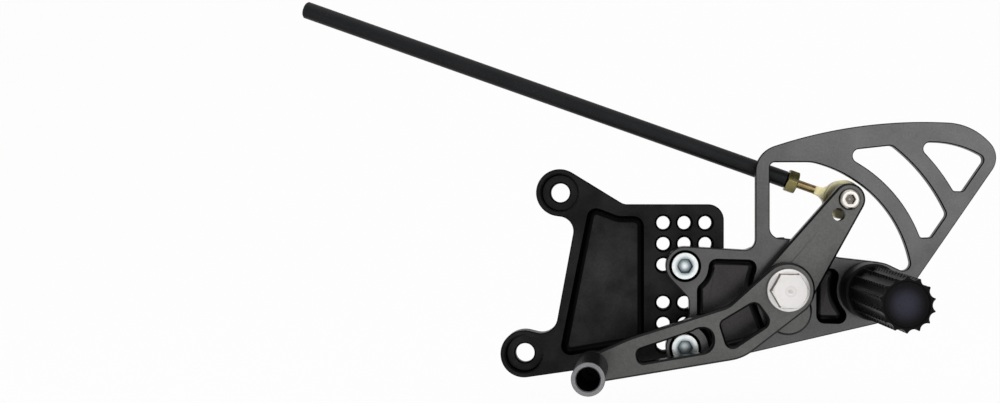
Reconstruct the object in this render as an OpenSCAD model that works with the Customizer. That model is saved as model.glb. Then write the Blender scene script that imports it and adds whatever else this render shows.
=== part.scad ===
// Rear-set footrest with gear-shift lever and linkage rod, for the left side of a motorcycle.
// Every piece is laid out flat in [x, y] with z as its distance outwards from the frame,
// and upright() stands it up: x runs to the rear, y becomes height, z becomes -Y, away from the bike.

/* [Frame mount] */
// Height between the two frame bolt holes
ear_rise = 76.5; // [72:0.5:82]
// Forward offset between the two frame bolt holes
ear_run = 16.9; // [13:0.1:21]
// Frame bolt hole diameter
ear_hole_d = 9; // [8.4:0.1:10.5]
// Radius of the ear round each frame bolt hole
ear_r = 11.2; // [10.4:0.1:12.4]
// Counterbore diameter for the frame bolt's head
ear_seat_d = 17.6; // [15:0.1:19]
// Counterbore depth for the frame bolt's head
ear_seat_depth = 4; // [2:0.5:6]

/* [Base plate] */
// Base plate thickness
base_t = 8; // [7:0.5:12]
// Pitch of the tapped adjustment holes
grid_pitch = 10; // [9.5:0.5:11]
// Height of the blank band between the upper and the lower block of holes
grid_gap = 18; // [16:0.5:20]
// Distance of the first column of holes behind the middle of the frame mount
grid_x = 57.6; // [55:0.1:60]
// Height of the top row of holes
grid_top = 24; // [22:0.5:26]
// Land between the outer holes and the plate's edges
grid_land = 8.8; // [7:0.1:11]
// Diameter of a tapped adjustment hole
tapped_d = 6.8; // [6.2:0.1:7]
// Countersink at the mouth of a tapped hole
tap_chamfer = 0.8; // [0.4:0.1:1.2]
// Corner radius of the base plate
base_corner_r = 7.5; // [5:0.5:10]
// Depth of the base plate's pocket
base_pocket_depth = 5; // [3.5:0.5:6]
// Fillet at the foot of every pocket's wall
floor_fillet = 3; // [1.5:0.25:3.25]

/* [Side plate] */
// Side plate thickness
side_t = 10; // [9:0.5:13]
// Heel guard thickness
guard_t = 4; // [3:0.5:5]
// Depth of the side plate's pockets
side_pocket_depth = 7; // [4:0.5:8]
// Radius of the two bosses round the plate bolts
boss_r = 9.1; // [8.4:0.1:10]
// Width of the waist between the two bosses' pocket and the front edge
waist_wall = 4.1; // [3:0.1:5]
// Pivot's distance behind the middle of the frame mount
pivot_x = 113.5; // [112:0.5:116]
// Pivot's height
pivot_y = -6; // [-8:0.5:-5]
// Foot peg's distance behind the middle of the frame mount
peg_x = 152; // [150:0.5:155]
// Foot peg's height
peg_y = -7; // [-9:0.5:-6]
// Radius of the side plate's rear corner round the foot peg
peg_boss_r = 16.4; // [15:0.1:18]
// Height of the heel guard's top edge
guard_top = 71; // [69:0.5:74]
// Width of the heel guard's front leg
guard_leg_w = 6.7; // [5.5:0.1:8]
// Inner radius of the heel guard's first curved rib, about the pivot
guard_arc_r = 59.7; // [59:0.1:61]
// Width of the heel guard's curved ribs
guard_rib_w = 7.7; // [6:0.1:9]
// Width of the gap between the heel guard's two curved ribs
guard_gap_w = 15.5; // [14:0.5:17]
// Wall between the heel guard's windows and its rear edge
guard_edge_w = 5.7; // [4.5:0.1:7]
// Height of the band along the heel guard's top
guard_band_h = 10.2; // [8:0.1:12]

/* [Shift lever] */
// Lever thickness
lever_t = 6; // [5:0.5:8]
// Distance from the pivot to the toe peg
lever_len = 95.2; // [90:0.1:100]
// Direction from the pivot to the toe peg
lever_angle = 201.6; // [200:0.1:203]
// Radius of the lever's hub
hub_r = 12.3; // [11.9:0.1:13]
// Radius of the lever's toe end
toe_boss_r = 7.2; // [6.8:0.1:8.5]

/* [Shift arm] */
// Arm thickness
arm_t = 6; // [5:0.5:8]
// Distance from the pivot to the rod end's bolt
arm_len = 50.2; // [48:0.1:51]
// Direction from the pivot to the rod end's bolt
arm_angle = 54.7; // [50:0.1:58]
// Radius of the arm round the pivot
arm_hub_r = 12.9; // [12.4:0.1:14]
// Radius of the arm's tip
arm_tip_r = 7.4; // [6.8:0.1:8]
// Radius of the arm's lobe below the pivot
arm_lobe_r = 11; // [10:0.1:12]
// Distance between the bolt hole and the spare hole
spare_step = 8.4; // [8.3:0.1:10]
// Diameter of the spare hole
spare_d = 6; // [5.6:0.1:6.2]

/* [Pivot] */
// Pivot bolt diameter
pivot_d = 10; // [8:0.5:10]
// Outer diameter of the steel sleeve
sleeve_d = 13; // [12.5:0.1:13.5]
// Outer diameter of the bronze bushes
bush_d = 16; // [15.4:0.1:16.6]
// Diameter of the bushes' flanges
bush_flange_d = 19.2; // [18:0.2:20]
// Thickness of the bushes' flanges
bush_flange_t = 0.8; // [0.6:0.1:1.4]
// Flange diameter of the pivot bolt
pivot_flange_d = 19.4; // [19.2:0.2:21.6]
// Width of the pivot bolt's hexagon across its flats
pivot_hex_af = 15; // [13:0.5:16]
// Height of the pivot bolt's head
pivot_head_h = 8; // [6:0.5:10]

/* [Foot peg] */
// Length of the foot peg
peg_len = 71; // [60:1:80]
// Diameter of the peg's smooth collar
peg_collar_d = 26; // [25:0.2:26.6]
// Length of the peg's smooth collar
peg_collar_len = 15; // [10:0.5:20]
// Diameter over the ridges behind the tip
peg_grip_d = 24.4; // [23.6:0.1:24.8]
// Diameter over the ridges at the tip
peg_tip_d = 22.6; // [22:0.1:24]
// Number of ridges round the peg
peg_ridges = 14; // [12:1:14]
// Radius of the flutes between the ridges
flute_r = 2.8; // [2.4:0.1:2.8]
// Number of toothed rows along the peg
peg_rows = 12; // [8:1:16]
// Width of the cuts across the ridges
peg_cut_w = 1.2; // [0.8:0.1:1.6]
// Depth of those cuts at the tip
peg_cut_depth = 0.9; // [0.5:0.1:1]
// Depth of the dish in the tip
peg_dish = 2; // [1:0.25:3]

/* [Toe peg] */
// Length of the toe peg
toe_len = 31; // [26:0.5:38]
// Diameter of the toe peg
toe_d = 14.5; // [13:0.1:15]
// Bore of the toe peg
toe_bore_d = 10.2; // [9.8:0.1:11]
// Thickness of the toe peg's floor
toe_floor = 5; // [4:0.5:7]

/* [Linkage rod] */
// Length of the rod
rod_len = 242; // [200:1:280]
// Diameter of the rod
rod_d = 8; // [7:0.5:9]
// Direction from the rod end to the rod's free end
rod_angle = 160.5; // [158:0.5:166]
// Depth of the threaded bore in each end of the rod
rod_bore_depth = 22; // [18:1:30]
// Width of the jam nut across its flats
jam_nut_af = 10; // [9:0.5:11]
// Thickness of the jam nut
jam_nut_t = 5; // [3:0.1:6]
// Distance from the ball's centre to the jam nut
neck_len = 23; // [21:0.1:28]
// Diameter of the rod end's neck
neck_d = 4; // [3.6:0.1:4.8]
// Diameter of the rod end's eye
eye_d = 18.4; // [17.6:0.1:20]
// Width of the rod end's eye
eye_w = 6.6; // [6:0.1:7]
// Outer diameter of the race
race_d = 15.2; // [14.6:0.1:15.8]
// Diameter of the ball
ball_d = 12.7; // [12.3:0.1:12.9]
// Width of the ball across its flats
ball_w = 9; // [8.6:0.1:9.4]

/* [Fasteners] */
// Diameter of the two plate bolts and of the foot peg's bolt
m8_d = 8; // [7.6:0.1:8]
// Head diameter of those bolts
m8_head_d = 13; // [12:0.1:13.6]
// Head height of the plate bolts
m8_head_h = 6; // [4:0.5:7]
// Diameter of the toe peg's bolt and of the rod end's bolt
m6_d = 6; // [5.6:0.1:6]
// Diameter of an M6 thread's tapped hole
m6_tap_d = 5; // [4.8:0.1:5.2]
// Head diameter of the rod end's bolt
m6_head_d = 9.6; // [9:0.1:10.2]
// Width of the rod end's nut across its flats
m6_nut_af = 10; // [9:0.5:11]
// Thickness of the rod end's nut
m6_nut_t = 2.4; // [2:0.1:2.6]

/* [Hidden] */
$fn = 64;

// Clearances: a thread in its tapped hole, a turning fit, an end float, a bolt in its hole, the rod behind the guard
thread_play = 0.05;
run_play = 0.05;
end_float = 0.1;
bolt_play = 0.2;
seat_play = 0.5;
guard_play = 0.4;
// Largest distance between a curve and its chords, on an outline's long arcs and in the pockets
arc_tol = 0.012;
pocket_tol = 0.05;
// Overlap of a cutting tool past the face it cuts
over = 1;
// Small step that keeps a corner's circle just across the arc it touches
touch = 0.02;
// Depth to which a straight run cuts a corner's circle, so that the two meet at a clear point
blend = 0.005;

// Centres of the frame bolt ears
ear_up = [ear_run / 2, ear_rise / 2];
ear_low = -ear_up;
// Columns and rows of the tapped holes
grid_cols = [for (i = [0:2]) grid_x + i * grid_pitch];
lower_top = grid_top - 2 * grid_pitch - grid_gap;
grid_rows = concat([for (i = [0:2]) grid_top - i * grid_pitch], [for (i = [0:2]) lower_top - i * grid_pitch]);
// The side plate hangs on the middle column, at the foot of each block
bolt_up = [grid_cols[1], grid_rows[2]];
bolt_low = [grid_cols[1], grid_rows[5]];
// Edges of the base plate
base_right = grid_cols[2] + grid_land;
base_top = grid_top + grid_land;
base_bottom = grid_rows[5] - grid_land + 0.6;

pivot = [pivot_x, pivot_y];
peg = [peg_x, peg_y];
toe = pivot + lever_len * [cos(lever_angle), sin(lever_angle)];
arm_dir = [cos(arm_angle), sin(arm_angle)];
ball = pivot + arm_len * arm_dir;
spare = pivot + (arm_len - spare_step) * arm_dir;

// Faces of the stack, as distances outwards from the frame
side_face = base_t + side_t;
guard_back = side_face - guard_t;
arm_back = side_face + bush_flange_t + end_float;
arm_face = arm_back + arm_t;
lever_face = arm_face + lever_t;
sleeve_end = lever_face + bush_flange_t + end_float;
rod_axis = guard_back - guard_play - jam_nut_af / 2 / cos(30);

// Hardware
m8_tap_d = tapped_d - 2 * thread_play;
m6_thread_d = m6_tap_d - 2 * thread_play;
ear_seat = base_t - ear_seat_depth;
mouth_chamfer = 0.7;
pivot_tap_d = pivot_d - 1.5;
peg_bolt_seat = base_t + 4;
peg_washer_d = 16;
peg_washer_t = 1.6;
peg_thread_len = 20;
dowel_d = 2.6;
dowel_ring_r = (bush_d / 2 + hub_r) / 2;
spacer_d = 9;
rod_end_head_sink = 1;
nut_chamfer = 0.4;

// OUTLINES
// An outline is a belt of circles [x, y, radius], run counterclockwise with the metal on its left:
// a positive radius is a convex corner, a negative radius is a hollow one.
function at(p, dx, dy, r) = [p[0] + dx, p[1] + dy, r];
function heading(a, b) =
    let (d = [b[0] - a[0], b[1] - a[1]])
    atan2(d[1], d[0]) - asin((b[2] - a[2]) / norm(d));
function whole_turn(t) = (t % 360 + 360) % 360;
function turn(r, t) =
    let (w = whole_turn(t))
    r >= 0 ? (w > 330 ? w - 360 : w) : (w < 30 ? w : w - 360);
function arc_steps(r, t, tol) = max(1, ceil(abs(t) / (2 * acos(1 - tol / max(abs(r), 1)))));
function belt(c, inset = 0) = [
    for (i = [0:len(c) - 1])
        let (
            before = c[(i + len(c) - 1) % len(c)],
            after = c[(i + 1) % len(c)],
            h = heading(before, c[i]),
            t = turn(c[i][2], heading(c[i], after) - h),
            steps = arc_steps(c[i][2], t, pocket_tol),
            r = c[i][2] - inset
        )
        for (k = [0:steps]) [c[i][0] + r * sin(h + t * k / steps), c[i][1] - r * cos(h + t * k / steps)]
];
// Corner circle that touches a large arc: tucked inside it, or resting on its outside
function tucked(p, arc_r, a, r) = [p[0] + (arc_r - r + touch) * cos(a), p[1] + (arc_r - r + touch) * sin(a), r];
function beside(p, arc_r, a, r) = [p[0] + (arc_r + r + touch) * cos(a), p[1] + (arc_r + r + touch) * sin(a), r];
// Corner circle that touches two large arcs, ra and rb being the distances of its centre from theirs
function between(a, ra, b, rb, r) =
    let (
        d = [b[0] - a[0], b[1] - a[1]],
        u = d / norm(d),
        s = (ra * ra - rb * rb + d * d) / (2 * norm(d)),
        h = sqrt(ra * ra - s * s)
    )
    [a[0] + s * u[0] - h * u[1], a[1] + s * u[1] + h * u[0], r];
// The flat shape inside a belt: its straight runs and gentle bends as one polygon, its corners as circles
function is_corner(c) = abs(c[2]) > 0 && abs(c[2]) < 20;
function hull_points(c) = [
    for (i = [0:len(c) - 1])
        let (
            before = c[(i + len(c) - 1) % len(c)],
            after = c[(i + 1) % len(c)],
            h = heading(before, c[i]),
            t = turn(c[i][2], heading(c[i], after) - h),
            steps = is_corner(c[i]) ? max(1, ceil(abs(t) / 80)) : arc_steps(c[i][2], t, arc_tol),
            r = c[i][2] - (is_corner(c[i]) ? blend * sign(c[i][2]) : 0)
        )
        for (k = [0:steps]) [c[i][0] + r * sin(h + t * k / steps), c[i][1] - r * cos(h + t * k / steps)]
];
module flat(c) {
    difference() {
        union() {
            polygon(hull_points(c));
            for (a = c) if (is_corner(a) && a[2] > 0) translate([a[0], a[1]]) circle(r = a[2]);
        }
        for (a = c) if (is_corner(a) && a[2] < 0) translate([a[0], a[1]]) circle(r = -a[2]);
    }
}
// Circle that rounds corner b between its neighbours a and c
function corner_circle(a, b, c) =
    let (
        h = atan2(b[1] - a[1], b[0] - a[0]),
        t = whole_turn(atan2(c[1] - b[1], c[0] - b[0]) - h + 180) - 180,
        r = t < 0 ? -b[2] : b[2],
        reach = r / cos(t / 2)
    )
    [b[0] - reach * sin(h + t / 2), b[1] + reach * cos(h + t / 2), r];
function rounded(p) = [
    for (i = [0:len(p) - 1]) corner_circle(p[(i + len(p) - 1) % len(p)], p[i], p[(i + 1) % len(p)])
];
// Point where two lines meet, each [point, direction angle]
function crossing(a, b) =
    let (
        d = b[0] - a[0],
        s = (d[0] * sin(b[1]) - d[1] * cos(b[1])) / sin(b[1] - a[1])
    )
    a[0] + s * [cos(a[1]), sin(a[1])];

// SHARED SHAPES
module upright() { rotate([90, 0, 0]) children(); }
module slab(from, to) { translate([0, 0, from]) linear_extrude(to - from) children(); }
module rod_at(p, from, to, d) { translate([p[0], p[1], from]) cylinder(d = d, h = to - from); }
// Turned shape on the axis through p, its profile as [radius, height] points
module turned(p, profile) { translate([p[0], p[1], 0]) rotate_extrude() polygon(profile); }
module hex_at(p, from, to, af) { translate([p[0], p[1], from]) cylinder(d = af / cos(30), h = to - from, $fn = 6); }
// Hexagon nut blank, upright on z = 0, its corners chamfered at both ends
module hex_blank(af, t) {
    corner_r = af / cos(30) / 2;
    c = nut_chamfer;
    intersection() {
        cylinder(r = corner_r, h = t, $fn = 6);
        rotate_extrude() polygon([
            [0, 0], [corner_r - 2 * c, 0], [corner_r + c, 1.5 * c],
            [corner_r + c, t - 1.5 * c], [corner_r - 2 * c, t], [0, t]
        ]);
    }
}
module cone_at(p, from, to, d_from, d_to) {
    translate([p[0], p[1], from]) cylinder(d1 = d_from, d2 = d_to, h = to - from);
}
// Milled pocket: an upright wall, then a fillet down to a flat floor
module pocket(circles, top, depth, fillet) {
    steps = 4;
    rings = concat(
        [[top + over, 0]],
        [for (i = [0:steps]) [top - depth + fillet * (1 - sin(90 * i / steps)), fillet * (1 - cos(90 * i / steps))]]
    );
    n = len(belt(circles));
    polyhedron(
        points = [for (ring = rings) for (p = belt(circles, ring[1])) [p[0], p[1], ring[0]]],
        faces = concat(
            [[for (i = [n - 1:-1:0]) i]],
            [for (k = [0:len(rings) - 2]) for (i = [0:n - 1])
                [k * n + i, k * n + (i + 1) % n, (k + 1) * n + (i + 1) % n, (k + 1) * n + i]],
            [[for (i = [0:n - 1]) (len(rings) - 1) * n + i]]
        )
    );
}
// Socket-head bolt: head above the seat, plain shank, then a thread at its core diameter
module socket_bolt(p, seat, head_d, head_h, shank_d, shank_end, thread_d, thread_end, key_af) {
    rim = 0.6;
    top = seat + head_h;
    difference() {
        turned(p, [
            [0, thread_end], [thread_d / 2, thread_end], [thread_d / 2, shank_end],
            [shank_d / 2, shank_end], [shank_d / 2, seat],
            [head_d / 2, seat], [head_d / 2, top - rim], [head_d / 2 - rim, top], [0, top]
        ]);
        hex_at(p, seat + head_h * 0.4, top + over, key_af);
    }
}

// BASE PLATE
function base_outline() = [
    at(ear_low, 0, 0, ear_r),
    [ear_low[0] + 53, base_bottom - 20, -20],
    [base_right - base_corner_r, base_bottom + base_corner_r, base_corner_r],
    [base_right - base_corner_r, base_top - base_corner_r, base_corner_r],
    [ear_up[0] + 32, base_top + 6, -6],
    at(ear_up, 0, 0, ear_r),
    at(ear_up, -0.5, -ear_r - 7.1, -7),
    at(ear_low, 7.9, ear_r + 6.6, -8)
];
function base_pocket() = rounded([
    at(ear_low, 17, -1.1, 4),
    [grid_x - 9.6, grid_rows[5] + 1.7, 5],
    [grid_x - 9.6, grid_top + 2.7, 4.5],
    at(ear_up, 28, grid_top + 2.7 - ear_up[1], 6),
    at(ear_up, 14.4, -6.4, 4)
]);
module base_plate() {
    color("#26262a") upright() difference() {
        slab(0, base_t) flat(base_outline());
        pocket(base_pocket(), base_t, base_pocket_depth, floor_fillet);
        for (p = [ear_up, ear_low]) {
            rod_at(p, -over, base_t + over, ear_hole_d);
            cone_at(p, ear_seat - mouth_chamfer, ear_seat + 0.01, ear_hole_d, ear_hole_d + 2 * mouth_chamfer);
            rod_at(p, ear_seat, base_t + over, ear_seat_d);
        }
        for (x = grid_cols) for (y = grid_rows) {
            rod_at([x, y], -over, base_t + over, tapped_d);
            cone_at([x, y], base_t - tap_chamfer, base_t + 0.01, tapped_d, tapped_d + 2 * tap_chamfer);
        }
    }
}

// SIDE PLATE AND HEEL GUARD
// Front and rear edges of the heel guard; the rear edge is the line that leaves the peg's corner
guard_front = pivot[0] - 13.3;
guard_rear_low = at(peg, 0, 0, peg_boss_r);
guard_top_arc = [pivot[0] + 64.8, guard_top - 220, 220];
guard_rear_bend = tucked(guard_top_arc, 220, 87, 28);
guard_rear_top = tucked(guard_rear_bend, 28, 40, 10);
guard_front_top = tucked(guard_top_arc, 220, acos((guard_front + 13 - guard_top_arc[0]) / 207), 13);
rear_angle = heading(guard_rear_low, guard_rear_top);
rear_normal = [-sin(rear_angle), cos(rear_angle)];
// Corner circle tucked in an arc, the wall's width away from the rear edge
function rear_corner(c, arc_r, r) =
    let (
        reach = rear_normal * (peg - [c[0], c[1]]) - peg_boss_r + guard_edge_w + r,
        a = rear_angle + asin(reach / (arc_r - r + touch))
    )
    tucked(c, arc_r, a, r);
// Corner circle where the wall beside the rear edge meets a level line
function rear_foot(y, r) =
    let (q = crossing([peg - (peg_boss_r - guard_edge_w) * rear_normal, rear_angle], [[0, y], 0]))
    corner_circle([0, y], [q[0], q[1], r], q + [cos(rear_angle), sin(rear_angle)]);
rib_1_out = guard_arc_r + guard_rib_w;
rib_2_in = rib_1_out + guard_gap_w;
rib_2_out = rib_2_in + guard_rib_w;
window_top = guard_top - guard_band_h;

function waist_front() = [
    [bolt_up[0] + 1.8 - 5, pivot[1] - 7, -5],
    [bolt_up[0] + 1.8 - 5, pivot[1] - 11.5, -5]
];
guard_heel = [guard_front - 5, pivot[1] + 22.5, -5];
function core_outline() = concat(
    [at(bolt_low, 0, 0, boss_r), guard_rear_low, at(pivot, 0, 0, 22.8), guard_heel, at(bolt_up, 0, 0, boss_r)],
    waist_front()
);
function side_outline() = concat(
    [
        at(bolt_low, 0, 0, boss_r),
        guard_rear_low,
        guard_rear_top,
        guard_rear_bend,
        guard_top_arc,
        guard_front_top,
        guard_heel,
        at(bolt_up, 0, 0, boss_r)
    ],
    waist_front()
);
pocket_boss_r = boss_r + 2.2;
pocket_corner_r = 3.4;
waist_pocket_turn = acos((1.8 + waist_wall + pocket_corner_r) / (pocket_boss_r + pocket_corner_r));
function front_pocket() = [
    at(bolt_low, 0, 0, -pocket_boss_r),
    beside(bolt_low, pocket_boss_r, 8.4, pocket_corner_r),
    at(pivot, -12, -20.8, pocket_corner_r),
    at(pivot, 0, 0, -15.1),
    at(pivot, -16.5, 9.2, pocket_corner_r),
    beside(bolt_up, pocket_boss_r, -1.6, pocket_corner_r),
    at(bolt_up, 0, 0, -pocket_boss_r),
    beside(bolt_up, pocket_boss_r, -waist_pocket_turn, pocket_corner_r),
    beside(bolt_low, pocket_boss_r, waist_pocket_turn, pocket_corner_r)
];
function rear_pocket() = [
    at(pivot, 18.8, -12.8, pocket_corner_r),
    beside(peg, 14.5, 222, pocket_corner_r),
    at(peg, 0, 0, -14.5),
    beside(peg, 14.5, 160, pocket_corner_r),
    at(pivot, 18.8, 5.1, pocket_corner_r)
];
function window_front() = [
    [guard_front + guard_leg_w + 5, pivot[1] + 27.9, 5],
    at(pivot, 0, 0, -22.8),
    at(pivot, 26.4, 17.9, 4),
    at(peg, 4.4, -1.1, -14),
    tucked(pivot, guard_arc_r, 11.6, 3.4),
    at(pivot, 0, 0, guard_arc_r),
    tucked(pivot, guard_arc_r, asin((guard_arc_r - 21.4) / (guard_arc_r - 20)), 20),
    [guard_front + guard_leg_w + 2.6, pivot[1] + guard_arc_r - 4, 2.6]
];
function window_middle() = [
    beside(pivot, rib_1_out, 21, 1.5),
    rear_foot(pivot[1] + 23.3, 1.8),
    rear_corner(pivot, rib_2_in, 3),
    at(pivot, 0, 0, rib_2_in),
    tucked(pivot, rib_2_in, 51.7, 4),
    beside(pivot, rib_1_out, 60.1, 3.2),
    at(pivot, 0, 0, -rib_1_out)
];
window_rear_arc = [pivot[0] + 68.9, window_top + 0.7 - 45, 45];
function window_rear() = [
    beside(pivot, rib_2_out, 30.2, 1.5),
    rear_foot(pivot[1] + 44.8, 1.8),
    rear_corner(window_rear_arc, 45, 2.6),
    window_rear_arc,
    between(pivot, rib_2_out + 3 + touch, window_rear_arc, 42 + touch, 3),
    at(pivot, 0, 0, -rib_2_out)
];
module side_plate() {
    color("#55555a") upright() difference() {
        union() {
            slab(base_t, side_face) flat(core_outline());
            slab(guard_back, side_face) flat(side_outline());
        }
        slab(base_t - over, side_face + over) {
            flat(window_front());
            flat(window_middle());
            flat(window_rear());
        }
        pocket(front_pocket(), side_face, side_pocket_depth, floor_fillet);
        pocket(rear_pocket(), side_face, side_pocket_depth, floor_fillet);
        for (p = [bolt_up, bolt_low]) {
            rod_at(p, base_t - over, side_face, m8_d + 2 * bolt_play);
            rod_at(p, side_face - m8_head_h, side_face + over, m8_head_d + 2 * seat_play);
        }
        rod_at(pivot, base_t - over, side_face + over, pivot_tap_d);
        rod_at(peg, base_t - over, side_face + over, m8_d + 2 * bolt_play);
        rod_at(peg, base_t - over, peg_bolt_seat, peg_washer_d + 2 * seat_play);
    }
}
module plate_bolt(p) {
    color("#d8dee2") upright()
        socket_bolt(p, side_face - m8_head_h, m8_head_d, m8_head_h, m8_d, base_t + 0.5, m8_tap_d, 0.5, 6);
}
module plate_bolt_upper() { plate_bolt(bolt_up); }
module plate_bolt_lower() { plate_bolt(bolt_low); }

// FOOT PEG
// Flutes leave ridges along the grip, and the ring-shaped cuts across them leave rows of teeth
peg_end = side_face + peg_len;
collar_end = side_face + peg_collar_len;
module ridges(r) {
    flute_ring = peg_grip_d / 2 + 0.5;
    difference() {
        circle(r = r);
        for (i = [0:peg_ridges - 1]) rotate(i * 360 / peg_ridges - 1) translate([flute_ring, 0]) circle(r = flute_r);
    }
}
module foot_peg() {
    edge = 1.4;
    r_collar = peg_collar_d / 2;
    r_tip = peg_tip_d / 2;
    taper = (peg_grip_d - peg_tip_d) / 2 / peg_rows;
    pitch = (peg_end - collar_end) / peg_rows;
    dish_flat = 3;
    dish_rise = r_tip - 2 - dish_flat;
    color("#1c1c20") upright() translate([peg[0], peg[1], 0]) difference() {
        union() {
            rotate_extrude() polygon(concat(
                [[0, side_face], [r_collar - 0.5, side_face], [r_collar, side_face + 0.5]],
                [for (a = [0:22.5:90]) [r_collar - edge + edge * cos(a), collar_end - edge + edge * sin(a)]],
                [[0, collar_end]]
            ));
            slab(collar_end, peg_end - pitch / 2) ridges(r_tip - peg_cut_depth);
            for (i = [0:peg_rows - 1])
                slab(collar_end + i * pitch + peg_cut_w, collar_end + (i + 1) * pitch)
                    ridges(r_tip + taper * (peg_rows - 1 - i));
        }
        rod_at([0, 0], side_face - over, side_face + peg_thread_len + 4, tapped_d);
        rotate_extrude() polygon(concat(
            [[0, peg_end + over], [dish_flat + dish_rise, peg_end + over]],
            [for (a = [0:22.5:90]) [dish_flat + dish_rise * cos(a), peg_end - peg_dish * sin(a)]],
            [[0, peg_end - peg_dish]]
        ));
    }
}
module foot_peg_washer() {
    color("#b9bcc0") upright() difference() {
        rod_at(peg, peg_bolt_seat - peg_washer_t, peg_bolt_seat, peg_washer_d);
        rod_at(peg, peg_bolt_seat - peg_washer_t - over, peg_bolt_seat + over, m8_d + 2 * bolt_play);
    }
}
module foot_peg_bolt() {
    seat = peg_bolt_seat - peg_washer_t;
    color("#c8ccd0") upright() translate([2 * peg[0], 0, 0]) rotate([0, 180, 0])
        socket_bolt(peg, -seat, m8_head_d, m8_head_h, m8_d, -side_face, m8_tap_d,
            -side_face - peg_thread_len, 6);
}

// PIVOT
module pivot_bolt() {
    flange_end = sleeve_end + 1.1;
    slope_end = sleeve_end + 2.2;
    top = sleeve_end + pivot_head_h;
    flange_r = pivot_flange_d / 2;
    corner_r = pivot_hex_af / cos(30) / 2;
    thread_r = pivot_tap_d / 2 - thread_play;
    color("#e6e2e0") upright() difference() {
        union() {
            turned(pivot, [
                [0, base_t + 0.5], [thread_r, base_t + 0.5], [thread_r, side_face],
                [pivot_d / 2, side_face], [pivot_d / 2, sleeve_end],
                [flange_r, sleeve_end], [flange_r, flange_end], [flange_r - 1.5, slope_end], [0, slope_end]
            ]);
            intersection() {
                hex_at(pivot, flange_end, top, pivot_hex_af);
                turned(pivot, [
                    [0, sleeve_end], [corner_r + 0.5, sleeve_end], [corner_r + 0.5, top - 1.3],
                    [corner_r - 1.5, top], [0, top]
                ]);
            }
        }
        cone_at(pivot, top - 0.6, top + 0.01, 0.8, 2.6);
    }
}
module pivot_sleeve() {
    color("#9a9ca0") upright() difference() {
        rod_at(pivot, side_face, sleeve_end, sleeve_d);
        rod_at(pivot, side_face - over, sleeve_end + over, pivot_d + 2 * thread_play);
    }
}
// Flanged bush, its barrel from back to face and its flange outside one of them
module flanged_bush(back, face, flange_from) {
    color("#b08d57") upright() difference() {
        union() {
            rod_at(pivot, min(back, flange_from), max(face, flange_from + bush_flange_t), bush_d);
            rod_at(pivot, flange_from, flange_from + bush_flange_t, bush_flange_d);
        }
        rod_at(pivot, back - bush_flange_t - over, face + bush_flange_t + over, sleeve_d + 2 * run_play);
    }
}
module pivot_bush_back() { flanged_bush(arm_back, arm_face, arm_back - bush_flange_t); }
module pivot_bush_front() { flanged_bush(arm_face, lever_face, lever_face); }

// SHIFT ARM AND SHIFT LEVER
// The arm's rear edge meets the lobe in a hollow corner
arm_lobe = pivot + [1, -10.3];
arm_edge_angle = arm_angle + asin((arm_hub_r - arm_tip_r) / arm_len);
arm_edge_normal = [sin(arm_edge_angle), -cos(arm_edge_angle)];
arm_corner_out = arm_hub_r + 3 - arm_edge_normal * (arm_lobe - pivot);
arm_corner_along = sqrt(pow(arm_lobe_r + 3 + touch, 2) - pow(arm_corner_out, 2));
arm_corner = arm_lobe + arm_corner_out * arm_edge_normal
    + arm_corner_along * [cos(arm_edge_angle), sin(arm_edge_angle)];
function arm_outline() = [
    at(arm_lobe, 0, 0, arm_lobe_r),
    at(arm_corner, 0, 0, -3),
    at(ball, 0, 0, arm_tip_r),
    at(pivot, 0, 0, arm_hub_r)
];
function lever_outline() = [
    at(toe, 0, 0, toe_boss_r),
    at(pivot, -29.1, -10.2, 22),
    at(pivot, 0, 0, hub_r),
    at(pivot, -33.1, 3, -12),
    at(toe, 38.5, -42.8, 60),
    at(toe, 2.2, 10, -3)
];
function slot_long() = rounded([
    at(toe, 21.5, 1.7, 2.5),
    at(pivot, -33.5, -27.6, 5.5),
    at(pivot, -34.1, -15.8, 4.5),
    at(toe, 20, 7.6, 2.5)
]);
function slot_short() = rounded([
    at(pivot, -26.6, -27.5, 3),
    at(pivot, -7.5, -14.8, 3.5),
    at(pivot, -14.6, -5.3, 3),
    at(pivot, -30.6, -14.9, 2.5)
]);
module dowel(i, from, to) {
    rod_at(pivot + dowel_ring_r * [cos(120 * i + 80), sin(120 * i + 80)], from, to, dowel_d);
}
module shift_arm() {
    color("#57575a") upright() difference() {
        slab(arm_back, arm_face) flat(arm_outline());
        rod_at(pivot, arm_back - over, arm_face + over, bush_d);
        rod_at(ball, arm_back - over, arm_face + over, m6_d + 2 * thread_play);
        rod_at(ball, arm_face - rod_end_head_sink, arm_face + over, m6_head_d + 2 * bolt_play);
        rod_at(spare, arm_back - over, arm_face + over, spare_d);
        for (i = [0:2]) dowel(i, arm_back + 2, arm_face + over);
    }
}
module shift_lever() {
    color("#5a5a58") upright() difference() {
        slab(arm_face, lever_face) flat(lever_outline());
        slab(arm_face - over, lever_face + over) {
            flat(slot_long());
            flat(slot_short());
        }
        rod_at(pivot, arm_face - over, lever_face + over, bush_d);
        rod_at(toe, arm_face - over, lever_face + over, m6_tap_d);
        for (i = [0:2]) dowel(i, arm_face - over, lever_face - 2);
    }
}
module arm_dowel(i) { color("#a0a2a6") upright() dowel(i, arm_back + 2, lever_face - 2); }
module arm_dowel_top() { arm_dowel(0); }
module arm_dowel_front() { arm_dowel(1); }
module arm_dowel_rear() { arm_dowel(2); }

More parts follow.
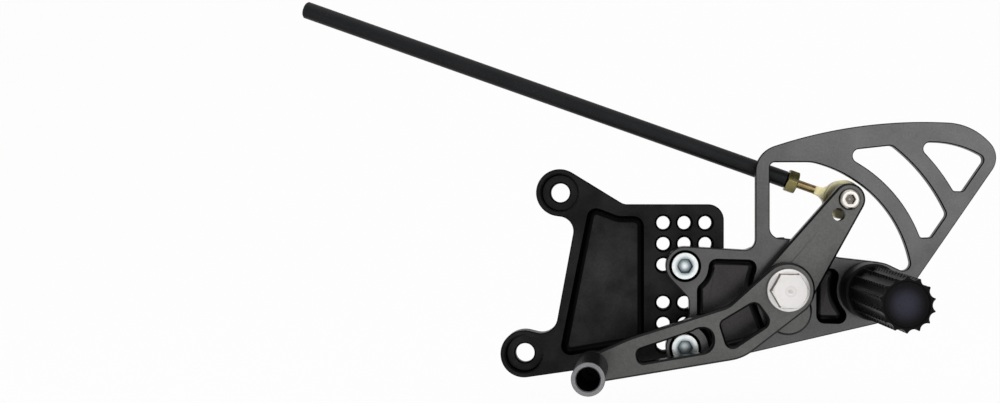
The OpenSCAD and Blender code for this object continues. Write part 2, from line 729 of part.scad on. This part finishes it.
// TOE PEG
module toe_peg() {
    r = toe_d / 2;
    bore_r = toe_bore_d / 2;
    edge = 0.4;
    end = lever_face + toe_len;
    color("#2a2a2e") upright() translate([toe[0], toe[1], 0]) rotate_extrude() polygon(concat(
        [[m6_d / 2 + bolt_play, lever_face], [r, lever_face]],
        [for (a = [0:30:90]) [r - edge + edge * cos(a), end - edge + edge * sin(a)]],
        [[bore_r + edge, end], [bore_r, end - edge]],
        [[bore_r, lever_face + toe_floor], [m6_d / 2 + bolt_play, lever_face + toe_floor]]
    ));
}
module toe_peg_bolt() {
    color("#3c3c40") upright() socket_bolt(toe, lever_face + toe_floor, toe_bore_d - 0.6, 5,
        m6_d, lever_face, m6_thread_d, arm_face + 0.2, 4);
}

// ROD END AND LINKAGE ROD
// Local frame of the rod: origin at the ball's centre, x along the rod to its free end, z outwards
module along_rod() {
    upright() translate([ball[0], ball[1], rod_axis]) rotate([0, 0, rod_angle]) children();
}
module rod_end_bolt() {
    seat = arm_face - rod_end_head_sink;
    top = seat + 3.2;
    end = rod_axis - ball_w / 2 - m6_nut_t;
    head_r = m6_head_d / 2;
    color("#cfcac6") upright() difference() {
        turned(ball, [
            [0, end], [m6_d / 2, end], [m6_d / 2, seat],
            [head_r, seat], [head_r, top - 1.2], [head_r - 0.5, top - 0.5], [head_r - 1.3, top], [0, top]
        ]);
        hex_at(ball, seat + 1, top + over, 4);
    }
}
module rod_end_spacer() {
    color("#b8b4a8") upright() difference() {
        rod_at(ball, rod_axis + ball_w / 2, arm_back, spacer_d);
        rod_at(ball, rod_axis, arm_back + over, m6_d + 2 * thread_play);
    }
}
module rod_end_ball() {
    color("#c9c9c6") along_rod() difference() {
        intersection() {
            sphere(d = ball_d);
            translate([0, 0, -ball_w / 2]) cylinder(d = ball_d + 2, h = ball_w);
        }
        translate([0, 0, -ball_w]) cylinder(d = m6_d + 2 * thread_play, h = 2 * ball_w);
    }
}
module rod_end_nut() {
    back = rod_axis - ball_w / 2 - m6_nut_t;
    color("#c9c08a") upright() difference() {
        translate([ball[0], ball[1], back]) hex_blank(m6_nut_af, m6_nut_t);
        rod_at(ball, back - over, back + m6_nut_t + over, m6_d + 2 * thread_play);
    }
}
race_w = eye_w + 0.2;
module rod_end_race() {
    color("#8f7d5a") along_rod() difference() {
        translate([0, 0, -race_w / 2]) cylinder(d = race_d, h = race_w);
        sphere(d = ball_d + 2 * run_play);
    }
}
module rod_end_eye() {
    flare_w = 4.4;
    flare_end = eye_d / 2 + 4.4;
    fillet = 6;
    neck_side = neck_d / 2 + fillet;
    fillet_x = sqrt(pow(eye_d / 2 + fillet + touch, 2) - pow(neck_side, 2));
    color("#cfc795") along_rod() difference() {
        union() {
            translate([0, 0, -eye_w / 2]) cylinder(d = eye_d, h = eye_w);
            translate([0, 0, -flare_w / 2]) linear_extrude(flare_w) flat([
                [0, 0, eye_d / 2],
                [fillet_x, -neck_side, -fillet],
                [flare_end, -neck_d / 2 + 0.5, 0.5],
                [flare_end, neck_d / 2 - 0.5, 0.5],
                [fillet_x, neck_side, -fillet]
            ]);
            translate([eye_d / 2 - 1, 0, 0]) rotate([0, 90, 0]) cylinder(d = neck_d, h = neck_len - eye_d / 2 + 1);
            translate([neck_len, 0, 0]) rotate([0, 90, 0])
                cylinder(d = m6_thread_d, h = jam_nut_t + rod_bore_depth - 6);
        }
        translate([0, 0, -eye_w]) cylinder(d = race_d, h = 2 * eye_w);
    }
}
module jam_nut() {
    color("#c4bb82") along_rod() translate([neck_len, 0, 0]) rotate([0, 90, 0]) difference() {
        hex_blank(jam_nut_af, jam_nut_t);
        translate([0, 0, -over]) cylinder(d = m6_tap_d, h = jam_nut_t + 2 * over);
    }
}
module shift_rod() {
    edge = 0.6;
    color("#1b1d1f") along_rod() translate([neck_len + jam_nut_t, 0, 0]) rotate([0, 90, 0]) difference() {
        rotate_extrude() polygon([
            [0, 0], [rod_d / 2 - edge, 0], [rod_d / 2, edge],
            [rod_d / 2, rod_len - edge], [rod_d / 2 - edge, rod_len], [0, rod_len]
        ]);
        translate([0, 0, -over]) cylinder(d = m6_tap_d, h = rod_bore_depth + over);
        translate([0, 0, rod_len - rod_bore_depth]) cylinder(d = m6_tap_d, h = rod_bore_depth + over);
    }
}

base_plate();
side_plate();
plate_bolt_upper();
plate_bolt_lower();
foot_peg();
foot_peg_washer();
foot_peg_bolt();
pivot_bolt();
pivot_sleeve();
pivot_bush_back();
pivot_bush_front();
shift_arm();
shift_lever();
arm_dowel_top();
arm_dowel_front();
arm_dowel_rear();
toe_peg();
toe_peg_bolt();
rod_end_bolt();
rod_end_spacer();
rod_end_ball();
rod_end_nut();
rod_end_race();
rod_end_eye();
jam_nut();
shift_rod();
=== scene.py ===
import math
import bmesh
import bpy
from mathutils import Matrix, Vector


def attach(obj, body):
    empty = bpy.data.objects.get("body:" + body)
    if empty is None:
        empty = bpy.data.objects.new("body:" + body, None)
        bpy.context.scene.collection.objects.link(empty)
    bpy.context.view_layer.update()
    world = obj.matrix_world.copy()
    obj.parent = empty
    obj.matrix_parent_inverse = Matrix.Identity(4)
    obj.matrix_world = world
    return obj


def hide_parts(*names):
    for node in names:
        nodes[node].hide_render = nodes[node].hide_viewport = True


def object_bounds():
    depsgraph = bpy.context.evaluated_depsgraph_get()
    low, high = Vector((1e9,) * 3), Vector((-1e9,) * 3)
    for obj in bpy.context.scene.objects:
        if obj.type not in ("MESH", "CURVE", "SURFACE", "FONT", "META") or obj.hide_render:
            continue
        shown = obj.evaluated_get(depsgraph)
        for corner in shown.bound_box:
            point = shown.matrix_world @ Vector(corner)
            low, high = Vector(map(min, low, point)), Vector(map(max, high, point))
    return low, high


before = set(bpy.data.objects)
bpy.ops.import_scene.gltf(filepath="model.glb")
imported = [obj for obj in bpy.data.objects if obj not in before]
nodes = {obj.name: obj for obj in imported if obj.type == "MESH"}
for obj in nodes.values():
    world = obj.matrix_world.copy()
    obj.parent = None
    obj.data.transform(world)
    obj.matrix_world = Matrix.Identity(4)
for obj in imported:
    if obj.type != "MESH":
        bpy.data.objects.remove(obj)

cad_box = [list(corner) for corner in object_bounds()]


# Base plate: milled from 8 mm aluminium plate, blasted and black anodised, its edges broken by
# a small chamfer. The front face is painted a dark grey for its satin sheen, the milled walls and
# fillets are painted black for shade, and the pocket's floor is a shade greyer.
def linear(hex_colour):
    """Turns an sRGB hex colour into the linear colour that the shader works in."""
    parts = [int(hex_colour[i:i + 2], 16) / 255 for i in (1, 3, 5)]
    return [c / 12.92 if c <= 0.04045 else ((c + 0.055) / 1.055) ** 2.4 for c in parts] + [1.0]


def put(tree, kind, settings=None, links=None):
    """Adds a node, sets its attributes or its sockets, and links its sockets from others."""
    node = tree.nodes.new("ShaderNode" + kind)
    for name, value in (settings or {}).items():
        if isinstance(name, str) and hasattr(node, name):
            setattr(node, name, value)
        else:
            node.inputs[name].default_value = value
    for name, source in (links or {}).items():
        tree.links.new(source, node.inputs[name])
    return node


def new_material(name):
    """An empty node material and its tree."""
    material = bpy.data.materials.new(name)
    material.use_nodes = True
    material.node_tree.nodes.clear()
    return material, material.node_tree


def face_share(tree, place, facing):
    """How far a surface faces out of the plate or back: 0 on its walls, 1 on its faces. The
    share rises while the normal's part along Y runs through the range facing."""
    low, high = facing
    lean = put(tree, "SeparateXYZ", links={0: place.outputs["Normal"]})
    upright = put(tree, "Math", {"operation": "ABSOLUTE"}, {0: lean.outputs["Y"]})
    share = put(tree, "MapRange", {"From Min": low, "From Max": high},
                {"Value": upright.outputs[0]})
    return share.outputs[0]


def by_radius(tree, place, centre, rings):
    """A colour for each distance from an axis along Y: centre and rings' radii are in mm."""
    outer_mm = rings[-1][0]
    across = put(tree, "Mapping",
                 {"Location": (-centre[0] / 1000, 0, -centre[1] / 1000), "Scale": (1, 0, 1)},
                 {"Vector": place.outputs["Object"]})
    radius = put(tree, "VectorMath", {"operation": "LENGTH"}, {0: across.outputs[0]})
    reach = put(tree, "Math", {"operation": "MULTIPLY", 1: 1000 / outer_mm},
                {0: radius.outputs["Value"]})
    ramp = put(tree, "ValToRGB", links={"Fac": reach.outputs[0]})
    stops = ramp.color_ramp.elements
    stops.remove(stops[1])
    stops[0].color = linear(rings[0][1])
    for radius_mm, colour in rings[1:]:
        stops.new(radius_mm / outer_mm).color = linear(colour)
    return ramp.outputs["Color"]


def anodised(name, face, wall, roughness, metallic, floor=None, floor_depth=0.0, specular=0.15,
             facing=(0.988, 0.9992), centre=None, cloudy=0.17):
    """Blasted and anodised aluminium: a painted sheen on the flat faces, a painted shade on the
    milled walls, and a third tone on the pockets' floor, which lies at floor_depth, in metres
    along Y. With a centre, face is a list of rings about it."""
    cloud_mm = 18
    grain_mm = 0.9  # drawn wider than the blasted grain is, so that it shows
    grain_depth = 0.0001
    floor_play = 0.0004
    satin_spread = 0.05
    noise_middle = {"From Min": 0.3, "From Max": 0.7}
    material, tree = new_material(name)
    place = put(tree, "TexCoord")
    flat = face_share(tree, place, facing)
    if centre:
        shade = by_radius(tree, place, centre, face)
    else:
        depth = put(tree, "SeparateXYZ", links={0: place.outputs["Object"]})
        deep = put(tree, "Math", {"operation": "COMPARE", 1: floor_depth, 2: floor_play},
                   {0: depth.outputs["Y"]})
        shade = put(tree, "MixRGB", {"Color1": linear(face), "Color2": linear(floor or face)},
                    {"Fac": deep.outputs[0]}).outputs[0]
    tone = put(tree, "MixRGB", {"Color1": linear(wall)}, {"Fac": flat, "Color2": shade})
    clouds = put(tree, "TexNoise", {"Scale": 1000 / cloud_mm, "Detail": 5, "Roughness": 0.6},
                 {"Vector": place.outputs["Object"]})
    grain = put(tree, "TexNoise", {"Scale": 1000 / grain_mm, "Detail": 2},
                {"Vector": place.outputs["Object"]})
    mottle = put(tree, "MapRange", {**noise_middle, "To Min": 1 - cloudy, "To Max": 1 + cloudy},
                 {"Value": clouds.outputs["Fac"]})
    speck = put(tree, "MapRange", {**noise_middle, "To Min": 0.9, "To Max": 1.1},
                {"Value": grain.outputs["Fac"]})
    both = put(tree, "Math", {"operation": "MULTIPLY"}, {0: mottle.outputs[0], 1: speck.outputs[0]})
    colour = put(tree, "HueSaturation", links={"Value": both.outputs[0], "Color": tone.outputs[0]})
    bump = put(tree, "Bump", {"Strength": 0.1, "Distance": grain_depth},
               {"Height": grain.outputs["Fac"]})
    satin = put(tree, "MapRange",
                {"To Min": roughness - satin_spread, "To Max": roughness + satin_spread},
                {"Value": clouds.outputs["Fac"]})
    metal = put(tree, "Math", {"operation": "MULTIPLY", 1: metallic}, {0: flat})
    shader = put(tree, "BsdfPrincipled", {"Specular IOR Level": specular},
                 {"Base Color": colour.outputs[0], "Roughness": satin.outputs[0],
                  "Metallic": metal.outputs[0], "Normal": bump.outputs["Normal"]})
    put(tree, "OutputMaterial", links={"Surface": shader.outputs[0]})
    return material


def add_piece(name, mesh, body, material, smooth_to=32):
    """Makes a bmesh a piece of the object that rides on a body. It is flat where it faces along
    Y, and smooth elsewhere up to an angle in degrees."""
    level = 0.9999
    data = bpy.data.meshes.new(name)
    mesh.normal_update()
    for face in mesh.faces:
        face.smooth = abs(face.normal.y) < level
    mesh.to_mesh(data)
    mesh.free()
    data.set_sharp_from_angle(angle=math.radians(smooth_to))
    data.materials.append(material)
    piece = bpy.data.objects.new(name, data)
    bpy.context.scene.collection.objects.link(piece)
    even = piece.modifiers.new("even_faces", "WEIGHTED_NORMAL")
    even.keep_sharp = True
    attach(piece, body)
    return piece


def edge_broken(node, body, width_mm, material, smooth_to=32, left_sharp=()):
    """A merged copy of a CAD node with its sharp edges chamfered, which stands for the node.
    left_sharp: circles in mm, (x, z, radius), whose edges stay as they are."""
    same_place = 1e-6
    flat_turn = math.radians(0.4)
    least_turn, most_turn = math.radians(50), math.radians(130)
    mesh = bmesh.new()
    mesh.from_mesh(nodes[node].data)
    bmesh.ops.remove_doubles(mesh, verts=mesh.verts, dist=same_place)
    bmesh.ops.dissolve_limit(mesh, angle_limit=flat_turn, verts=mesh.verts, edges=mesh.edges)
    kept = {v for v in mesh.verts for x, z, r in left_sharp
            if math.hypot(v.co.x * 1000 - x, v.co.z * 1000 - z) < r}
    sharp = [e for e in mesh.edges if e.is_manifold
             and least_turn < e.calc_face_angle() < most_turn and not kept.issuperset(e.verts)]
    bmesh.ops.bevel(mesh, geom=sharp, offset=width_mm / 1000, offset_type="OFFSET", segments=1,
                    profile=0.5, affect="EDGES", clamp_overlap=False, material=-1)
    piece = add_piece(node + "_edge_broken", mesh, body, material, smooth_to)
    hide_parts(node)


base_finish = anodised("black_anodised_aluminium", face="#242424", wall="#030303", roughness=0.34,
                       metallic=0.85, floor="#2E2E2E", floor_depth=-0.003, specular=0.04,
                       cloudy=0.45)
edge_broken("base_plate", "carrier", 0.5, base_finish)

# Threads of the adjustment holes: M8, tapped through the base plate and anodised with it. They
# show as fine rings inside each open hole. The two holes that hold the plate bolts have none.
hole_columns = [57.6, 67.6, 77.6]
hole_rows = [24, 14, 4, -14, -24, -34]
bolted_holes = [(67.6, 4), (67.6, -34)]
tapped_r = 3.4
thread_pitch = 1.25
thread_start = 0.6
thread_turns = 5
ridge_root = 0.02
ridge_height = 0.25


def thread(mesh, centre, axis, start, turns, root_r, crest_r, pitch):
    """Adds a thread inside a bore, in millimetres: one ridge's section, spun up a helix."""
    turn_steps = 20
    ridge = ((root_r, 0.1), (crest_r, 0.42), (crest_r, 0.58), (root_r, 0.9))
    axis = Vector(axis).normalized()
    across = axis.orthogonal().normalized()
    base = Vector(centre) + axis * start
    section = [mesh.verts.new((base + across * r + axis * h * pitch) / 1000) for r, h in ridge]
    edges = [mesh.edges.new(pair) for pair in zip(section, section[1:])]
    bmesh.ops.spin(mesh, geom=section + edges, cent=base / 1000, axis=axis,
                   dvec=axis * pitch / 1000 / turn_steps, angle=2 * math.pi * turns,
                   steps=turn_steps * turns, use_merge=False)


ridges = bmesh.new()
for x in hole_columns:
    for z in hole_rows:
        if (x, z) not in bolted_holes:
            thread(ridges, (x, 0, z), (0, -1, 0), thread_start, thread_turns,
                   tapped_r + ridge_root, tapped_r - ridge_height, thread_pitch)
bmesh.ops.recalc_face_normals(ridges, faces=ridges.faces)
thread_finish = anodised("black_anodised_threads", face="#0E0E0E", wall="#0E0E0E", roughness=0.4,
                         metallic=0.3)
add_piece("adjustment_hole_threads", ridges, "carrier", thread_finish)

# Side plate and heel guard, one piece of aluminium plate: pockets and windows milled, blasted and
# anodised in a lighter charcoal, edges broken. Its flat faces are painted grey for their sheen,
# its walls black for shade, and its pocket floors a darker grey.
side_finish = anodised("charcoal_anodised_aluminium", face="#5C5C5C", wall="#050505",
                       roughness=0.3, metallic=0.9, floor="#413F40", floor_depth=-0.011)
edge_broken("side_plate", "carrier", 0.5, side_finish)


# Plate bolts: M8 socket heads, steel, bright zinc plated with a cool blue passivation. Rings of
# colour paint the head's light: a painted highlight on the rim, a painted shade where the socket
# starts and a painted glint on the socket's floor.
def plated(name, face, wall, roughness, metallic=1.0, centre=None, facing=(0.5, 0.95),
           drift_by=0.11):
    """Plated steel: a bright metal with a painted shade that darkens its sides, whose tone drifts
    over a few mm. With a centre, face is a list of rings about it."""
    drift_mm, mark_mm = 2.5, 0.5
    mark_depth = 0.0001
    rough_spread = 0.06
    material, tree = new_material(name)
    place = put(tree, "TexCoord")
    flat = face_share(tree, place, facing)
    tone = put(tree, "MixRGB", {"Color1": linear(wall)}, {"Fac": flat})
    if centre:
        tree.links.new(by_radius(tree, place, centre, face), tone.inputs["Color2"])
    else:
        tone.inputs["Color2"].default_value = linear(face)
    drift = put(tree, "TexNoise", {"Scale": 1000 / drift_mm, "Detail": 3},
                {"Vector": place.outputs["Object"]})
    marks = put(tree, "TexNoise", {"Scale": 1000 / mark_mm, "Detail": 2},
                {"Vector": place.outputs["Object"]})
    value = put(tree, "MapRange",
                {"From Min": 0.3, "From Max": 0.7, "To Min": 1 - drift_by, "To Max": 1 + drift_by},
                {"Value": drift.outputs["Fac"]})
    colour = put(tree, "HueSaturation", links={"Value": value.outputs[0], "Color": tone.outputs[0]})
    rough = put(tree, "MapRange",
                {"To Min": roughness - rough_spread, "To Max": roughness + rough_spread},
                {"Value": drift.outputs["Fac"]})
    bump = put(tree, "Bump", {"Strength": 0.06, "Distance": mark_depth},
               {"Height": marks.outputs["Fac"]})
    shader = put(tree, "BsdfPrincipled", {"Metallic": metallic},
                 {"Base Color": colour.outputs[0], "Roughness": rough.outputs[0],
                  "Normal": bump.outputs["Normal"]})
    put(tree, "OutputMaterial", links={"Surface": shader.outputs[0]})
    return material


def dress(material, *names):
    """Gives CAD nodes their finish."""
    for name in names:
        nodes[name].data.materials.clear()
        nodes[name].data.materials.append(material)


socket_rings = [(0, "#F4F8F8"), (1.1, "#D5DCDE"), (2.0, "#97A2A6"), (2.8, "#6E7A80"),
                (3.4, "#7F8A8F"), (4.0, "#BDC6C9"), (4.8, "#EEF3F3"), (6.5, "#F6FAFA")]
for bolt, centre_mm in zip(("plate_bolt_upper", "plate_bolt_lower"), bolted_holes):
    bolt_finish = plated(bolt + "_bright_zinc", face=socket_rings, wall="#4E585C", roughness=0.3,
                         centre=centre_mm)
    edge_broken(bolt, "carrier", 0.2, bolt_finish)

# Foot peg: turned from aluminium bar, fluted along and cut across into rows of teeth, black
# anodised, with a bluish grey reflection painted on its dished end. The peg's bolt and its
# washer, zinc plated, hold it from behind the side plate.
peg_centre = (152, -7)
peg_rings = [(0, "#3C3C48"), (3.5, "#343440"), (7, "#17171B"), (9, "#0B0B0D"), (13, "#0A0A0B")]
peg_finish = anodised("black_anodised_turned_aluminium", face=peg_rings, wall="#080809",
                      roughness=0.5, metallic=0.3, specular=0.12, facing=(0.85, 0.97),
                      centre=peg_centre)
dress(peg_finish, "foot_peg")
zinc = plated("bright_zinc_plated_steel", face="#D5DCDD", wall="#7F898C", roughness=0.32)
dress(zinc, "foot_peg_washer", "foot_peg_bolt")

# Pivot bolt: steel, turned with a flange and a hexagon, nickel plated to a soft, almost white
# satin. It clamps a plain steel sleeve on which two flanged bronze bushes turn.
# The head's rings paint a shade round the centre dimple and highlights beside it, and the bolt's
# sides are painted darker.
pivot_centre = (113.5, -6)
pivot_rings = [(0, "#F6F2F0"), (0.7, "#E2DDDA"), (1.0, "#FBF8F7"), (2.4, "#F0ECEA"),
               (2.8, "#FCF9F8"), (7.2, "#F9F6F4"), (9.7, "#FDFAF9")]
nickel = plated("satin_nickel_plated_steel", face=pivot_rings, wall="#6E645D", roughness=0.5,
                metallic=0.4, centre=pivot_centre, facing=(0.3, 0.75), drift_by=0.02)
edge_broken("pivot_bolt", "carrier", 0.2, nickel, smooth_to=14)
steel = plated("ground_steel", face="#B4B4B0", wall="#7D7D7A", roughness=0.3)
dress(steel, "pivot_sleeve")
bronze = plated("sintered_bronze", face="#A5834F", wall="#6B5330", roughness=0.45)
dress(bronze, "pivot_bush_back", "pivot_bush_front")

# Shift arm, with its lobe, and the shift lever: milled from 6 mm plate and finished like the side
# plate. The walls round their holes are thin and keep sharp edges. Three ground dowels lock the
# arm to the lever behind the pivot bolt's flange.
arm_bolt_edge = (142.5, 35, 6.6)
spare_hole_edge = (137.65, 28.1, 3.8)
arm_bore_edge = (113.5, -6, 11.7)
lever_bore_edge = (113.5, -6, 11.5)
toe_hole_edge = (25, -41, 4)
arm_finish = anodised("charcoal_anodised_bar", face="#5E5E5D", wall="#050505", roughness=0.32,
                      metallic=0.9)
# Their wide chamfers take the walls' painted black, which draws an outline of painted shade round
# the arm and the lever.
edge_broken("shift_arm", "shifter", 1.0, arm_finish,
            left_sharp=[arm_bolt_edge, spare_hole_edge, arm_bore_edge])
edge_broken("shift_lever", "shifter", 0.9, arm_finish,
            left_sharp=[lever_bore_edge, toe_hole_edge])
dress(steel, "arm_dowel_top", "arm_dowel_front", "arm_dowel_rear")

# Toe peg: a turned tube, black anodised, with a soft grey sheen painted on its rim. Its bolt
# sits deep in the bore, blackened by an oxide bath.
tube_finish = anodised("black_anodised_tube", face="#8B8B8D", wall="#0E0E0F", roughness=0.38,
                       metallic=0.5, facing=(0.6, 0.9))
dress(tube_finish, "toe_peg")
black_steel = anodised("black_oxide_steel", face="#0B0B0C", wall="#080809", roughness=0.4,
                       metallic=0.8)
dress(black_steel, "toe_peg_bolt")

# Rod end: a steel eye and neck, yellow zinc plated in a pale and patchy gold, round a race and a
# ground ball. A bright button head bolt carries it on the arm, with a spacer before the ball and
# a nut behind it. The jam nut is a duller gold.
ball_centre = (142.508, 34.970)
# The eye's rings paint a pale highlight where it flares into the neck.
eye_rings = [(0, "#A29E7E"), (8, "#A6A282"), (9.8, "#D9D1A6"), (13, "#CEC397"), (15, "#9C8860"),
             (28, "#93805A")]
yellow_zinc = plated("yellow_zinc_plated_steel", face=eye_rings, wall="#5A4C30", roughness=0.3,
                     centre=ball_centre, drift_by=0.2)
dress(yellow_zinc, "rod_end_nut", "rod_end_eye")
nut_finish = plated("yellow_zinc_plated_nut", face="#A09868", wall="#3A351D", roughness=0.28)
edge_broken("jam_nut", "linkage", 0.15, nut_finish)
# The button head's rings paint a shade in its socket and a highlight on its rim.
button_rings = [(0, "#9C9791"), (0.7, "#615C57"), (1.6, "#6C6762"), (2.1, "#B9B4AE"),
                (3.2, "#E3DFD9"), (4.8, "#BDB8B1")]
button_finish = plated("zinc_plated_button_head", face=button_rings, wall="#5B5650",
                       roughness=0.3, centre=ball_centre)
edge_broken("rod_end_bolt", "shifter", 0.15, button_finish)
dress(steel, "rod_end_spacer", "rod_end_ball")
race_steel = plated("rod_end_race_steel", face="#A29B80", wall="#5D573F", roughness=0.4)
dress(race_steel, "rod_end_race")

# Linkage rod: drawn steel bar with a threaded bore in each end, powder coated in satin black,
# with a soft grey streak of light painted along the middle.
rod_finish = anodised("satin_black_coated_rod", face="#212224", wall="#060606", roughness=0.42,
                      metallic=0.2, facing=(0.7, 0.98))
dress(rod_finish, "shift_rod")

# Studio: a white paper sweep under and behind the object, a pale room, soft lamps and the camera.
# The paper glows towards the camera and in reflections, which keeps it an even white, and still
# takes the object's shadow.
paper_glow = 0.95
sweep_finish, tree = new_material("white_paper_sweep")
paper = put(tree, "BsdfDiffuse", {"Color": linear("#F4F4F3")})
glow = put(tree, "Emission", {"Color": (1, 1, 1, 1), "Strength": 1.0})
path = put(tree, "LightPath")
seen = put(tree, "Math", {"operation": "MAXIMUM"},
           {0: path.outputs["Is Camera Ray"], 1: path.outputs["Is Glossy Ray"]})
share = put(tree, "Math", {"operation": "MULTIPLY", 1: paper_glow}, {0: seen.outputs[0]})
both = put(tree, "MixShader", links={0: share.outputs[0], 1: paper.outputs[0], 2: glow.outputs[0]})
put(tree, "OutputMaterial", links={"Surface": both.outputs[0]})

toe_room = 0.016  # lets the toe peg clear the floor when the lever is pressed down
floor_z = cad_box[0][2] - toe_room
half_width = 3
front_y, bend_y = -3, 0.5
bend_r = 0.6
wall_height = 3
sweep = bmesh.new()
ends = [sweep.verts.new((x, front_y, floor_z)) for x in (-half_width, half_width)]
front = sweep.edges.new(ends)
grown = bmesh.ops.extrude_edge_only(sweep, edges=[front])["geom"]
row = [v for v in grown if isinstance(v, bmesh.types.BMVert)]
bmesh.ops.translate(sweep, verts=row, vec=(0, bend_y - front_y, 0))
edge = [e for e in grown if isinstance(e, bmesh.types.BMEdge) and all(v in row for v in e.verts)]
bent = bmesh.ops.spin(sweep, geom=row + edge, cent=(0, bend_y, floor_z + bend_r), axis=(1, 0, 0),
                      angle=math.pi / 2, steps=16, use_merge=False)["geom_last"]
bent_edge = [g for g in bent if isinstance(g, bmesh.types.BMEdge)]
grown = bmesh.ops.extrude_edge_only(sweep, edges=bent_edge)["geom"]
row = [v for v in grown if isinstance(v, bmesh.types.BMVert)]
bmesh.ops.translate(sweep, verts=row, vec=(0, 0, wall_height))
for face in sweep.faces:
    face.smooth = True
data = bpy.data.meshes.new("sweep")
sweep.to_mesh(data)
sweep.free()
data.materials.append(sweep_finish)
backdrop = bpy.data.objects.new("sweep", data)
bpy.context.scene.collection.objects.link(backdrop)

world = bpy.data.worlds.new("pale_room")
bpy.context.scene.world = world
world.use_nodes = True
tree = world.node_tree
tree.nodes.clear()
direction = put(tree, "SeparateXYZ", links={0: put(tree, "TexCoord").outputs["Generated"]})
level = put(tree, "MapRange", {"From Min": -0.1, "From Max": 1.0, "To Min": 0.35, "To Max": 0.7},
            {"Value": direction.outputs["Z"]})
room = put(tree, "Background", {"Color": (1, 1, 1, 1)}, {"Strength": level.outputs[0]})
put(tree, "OutputWorld", links={"Surface": room.outputs[0]})


def softbox(name, place, size, radiance, aim=(0.06, 0, 0.03)):
    """A square soft lamp of a given brightness, aimed at the object."""
    data = bpy.data.lights.new(name, "AREA")
    data.shape = "RECTANGLE"
    data.size, data.size_y = size
    data.energy = radiance * math.pi * size[0] * size[1]
    lamp = bpy.data.objects.new(name, data)
    bpy.context.scene.collection.objects.link(lamp)
    lamp.location = place
    lamp.rotation_euler = (Vector(aim) - Vector(place)).to_track_quat("-Z", "Y").to_euler()


softbox("key_softbox", (0.72, -1.45, 0.26), (0.9, 0.8), 1.3)
softbox("front_softbox", (0.1, -1.6, 0.3), (1.6, 1.1), 0.3)
softbox("top_softbox", (0.05, -0.2, 1.4), (1.6, 1.2), 0.9)

focal_length_px, picture_width_px = 991, 1000
camera_data = bpy.data.cameras.new("camera")
camera = bpy.data.objects.new("camera", camera_data)
bpy.context.scene.collection.objects.link(camera)
camera.location = (0.0485, -0.478, 0.031)
camera.rotation_euler = (math.radians(90), 0, 0)
camera_data.sensor_width = 36
camera_data.lens = focal_length_px / picture_width_px * camera_data.sensor_width
camera_data.shift_x = -0.144
camera_data.shift_y = 0.0065
camera_data.clip_start = 0.01
bpy.context.scene.camera = camera
bpy.context.scene.view_settings.view_transform = "Standard"
